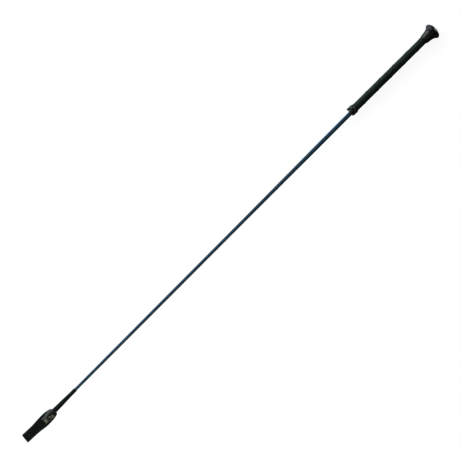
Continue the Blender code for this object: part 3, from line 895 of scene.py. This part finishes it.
def softbox(name, target, azimuth, tilt, distance, size, brightness, colour, glossy=True, spread=180.0):
    """A soft light that faces a target on the floor.

    Azimuth 0 is +X and a quarter turn is +Y, in degrees; tilt is the angle from the vertical.
    Brightness is the radiance of its face.
    """
    light = bpy.data.lights.new(name, "AREA")
    light.shape = "RECTANGLE"
    light.size, light.size_y = size
    light.energy = brightness * math.pi * size[0] * size[1]
    light.color = colour
    light.spread = math.radians(spread)
    holder = bpy.data.objects.new(name, light)
    turn, tip = math.radians(azimuth), math.radians(tilt)
    away = Vector((math.cos(turn) * math.sin(tip), math.sin(turn) * math.sin(tip), math.cos(tip)))
    holder.location = Vector((*target, 0.0)) + distance * away
    holder.rotation_euler = (tip, 0.0, turn + 0.5 * math.pi)
    holder.visible_glossy = glossy
    holder.visible_camera = False
    bpy.context.scene.collection.objects.link(holder)


def make_lights():
    """Set the lights and the display's gamma.

    A large cool key on the +Y side, a narrow warm light for the keeper, a long strip overhead for
    the cap's streak, and a fill from straight above that reflections do not show.
    """
    middle = (0.0, 0.0)
    softbox("key", middle, 90.0, 66.0, 2.2, (4.0, 1.9), 1.75, (0.90, 0.96, 1.0))
    softbox("warm", (-0.40, 0.0), -78.0, 47.0, 1.0, (0.75, 0.4), 1.0, (1.0, 0.97, 0.80), spread=60.0)
    softbox("strip", (-1.9, -0.33), -90.0, 0.0, 1.2, (5.0, 0.16), 1.5, (1.0, 1.0, 0.85))
    softbox("fill", middle, 90.0, 0.0, 3.0, (6.0, 6.0), 0.55, (1.0, 1.0, 1.0), glossy=False)
    make_world()
    bpy.context.scene.view_settings.view_transform = "Standard"
    bpy.context.scene.view_settings.gamma = GAMMA


def make_world():
    """A studio that is bright on its +Y side and in a lobe low down beyond the cap's end, and dim
    elsewhere.
    """
    world = bpy.data.worlds.new("studio")
    world.use_nodes = True
    tree = world.node_tree

    def math_node(operation, first, second):
        made = tree.nodes.new("ShaderNodeMath")
        made.operation = operation
        for socket, value in zip(made.inputs, (first, second)):
            if isinstance(value, float):
                socket.default_value = value
            else:
                tree.links.new(value, socket)
        return made.outputs["Value"]

    def rise(value, low, high, top):
        made = tree.nodes.new("ShaderNodeMapRange")
        made.interpolation_type = "SMOOTHSTEP"
        for socket, number in (("From Min", low), ("From Max", high), ("To Min", 0.0), ("To Max", top)):
            made.inputs[socket].default_value = number
        tree.links.new(value, made.inputs["Value"])
        return made.outputs["Result"]

    direction = tree.nodes.new("ShaderNodeTexCoord").outputs["Generated"]
    parts = tree.nodes.new("ShaderNodeSeparateXYZ")
    tree.links.new(direction, parts.inputs["Vector"])
    bright_side = rise(parts.outputs["Y"], WORLD_SIDE_START, WORLD_SIDE_FULL, WORLD_SIDE)
    off_lobe = math_node("ADD", parts.outputs["Y"], 0.06)
    aside = math_node("MULTIPLY", math_node("ABSOLUTE", off_lobe, 0.0), 1.8)
    ahead = math_node("SUBTRACT", parts.outputs["X"], parts.outputs["Z"])
    low_end = rise(math_node("SUBTRACT", ahead, aside), 1.1, 1.35, WORLD_END)
    background = tree.nodes["Background"]
    background.inputs["Color"].default_value = (0.90, 0.97, 1.0, 1.0)
    total = math_node("ADD", math_node("ADD", bright_side, low_end), WORLD_DIM)
    tree.links.new(total, background.inputs["Strength"])
    bpy.context.scene.world = world


def dress(node, material):
    """Give a carried-over CAD node its material."""
    frame["nodes"][node].data.materials.clear()
    frame["nodes"][node].data.materials.append(material)


def dress_hidden_nodes():
    """Give the CAD nodes that are carried over, all inside the crop, their materials."""
    dress("cap_nail", plain("nail_steel", (0.42, 0.42, 0.43), (0.52, 0.52, 0.52),
                            500.0, 0.25, 0.45, Metallic=1.0))
    dress("butt_plug", plain("plug_wood", (0.30, 0.18, 0.09), (0.45, 0.30, 0.17),
                             240.0, 0.5, 0.7))
    dress("handle_tube", plain("tube_plastic", (0.040, 0.040, 0.044), (0.055, 0.055, 0.060),
                               300.0, 0.4, 0.6))
    dress("rod_tip_cap", plain("tip_rubber", (0.040, 0.040, 0.044), (0.055, 0.055, 0.060),
                               600.0, 0.5, 0.7))
    dress("core_rod", plain("glass_fibre", (0.52, 0.52, 0.42), (0.66, 0.66, 0.56),
                            400.0, 0.25, 0.4))


def build():
    """Make the whole scene."""
    make_camera()
    make_floor()
    make_lights()
    gloss, thread = gloss_black(), black_thread()
    make_cap(gloss)
    make_disc(gloss)
    make_binding(thread)
    make_grip(grip_leather())
    make_knot(lace_leather())
    make_foundation(plain("foundation_tape", (0.004, 0.006, 0.008), (0.008, 0.010, 0.012),
                          900.0, 0.75, 0.9))
    make_braid(navy_braid())
    make_whipping(thread)
    make_keeper(keeper_leather(), edge_paint(), thread)
    dress_hidden_nodes()


build()
